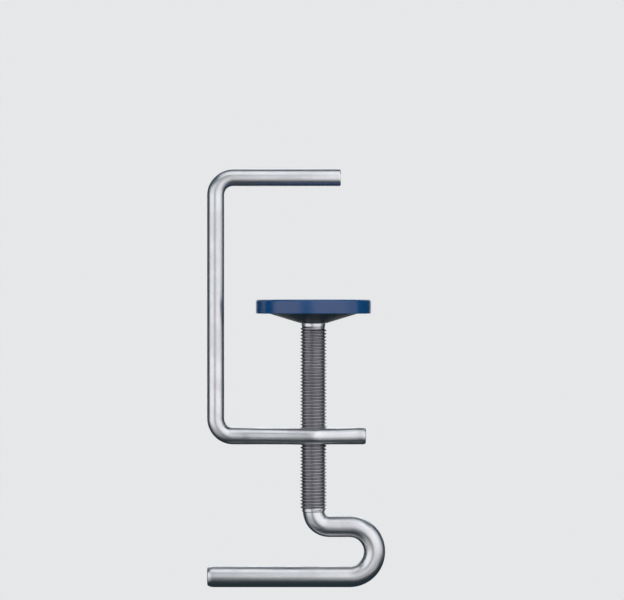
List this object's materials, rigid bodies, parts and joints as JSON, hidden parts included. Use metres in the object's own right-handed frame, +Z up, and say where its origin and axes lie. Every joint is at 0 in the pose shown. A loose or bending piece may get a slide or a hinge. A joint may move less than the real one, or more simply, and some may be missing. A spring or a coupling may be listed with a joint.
{
  "type": "screw table clamp",
  "caption": "C-frame of bent round rod with a threaded spindle through its lower arm, a bent crank handle below and a round swivel pad that presses up under a table top.",
  "frame": {"origin": "on the underside of the upper arm, straight above the spindle's axis, where the clamp bears on the table top", "axes": "+Z up along the spindle's axis, +X towards the open mouth, away from the leg, +Y away from a viewer who sees the leg on the left"},
  "size_m": [0.0539, 0.0348, 0.1266],
  "materials": {
    "frame_steel": "satin zinc or nickel plating on bent steel rod",
    "spindle_steel": "satin plating, darker in the rolled thread",
    "ring_steel": "hardened spring steel",
    "plate_steel": "black coated pressed steel",
    "cap_plastic": "moulded dark blue plastic, semi-matt"
  },
  "bodies": {
    "frame": {"frame": "frame_steel"},
    "swivel": {"retaining_ring": "ring_steel"},
    "spindle": {"spindle": "spindle_steel"},
    "pad": {"pressure_plate": "plate_steel", "pad_cap": "cap_plastic"}
  },
  "joints": [
    {"name": "pad_travel", "type": "slide", "parent": "frame", "child": "swivel", "axis": [0, 0, 1], "range_m": [-0.03, 0.01925]},
    {"name": "spindle_turn", "type": "hinge", "parent": "swivel", "child": "spindle", "pos_m": [0, 0, -0.0407], "axis": [0, 0, 1], "range_deg": [-10800, 6930]},
    {"name": "pad_tilt", "type": "hinge", "parent": "swivel", "child": "pad", "pos_m": [0, 0, -0.0407], "axis": [0, 1, 0], "range_deg": [-4, 4]}
  ],
  "couplings": [
    {"joint": "pad_travel", "follows": "spindle_turn", "m_per_rad": 0.00015915}
  ]
}
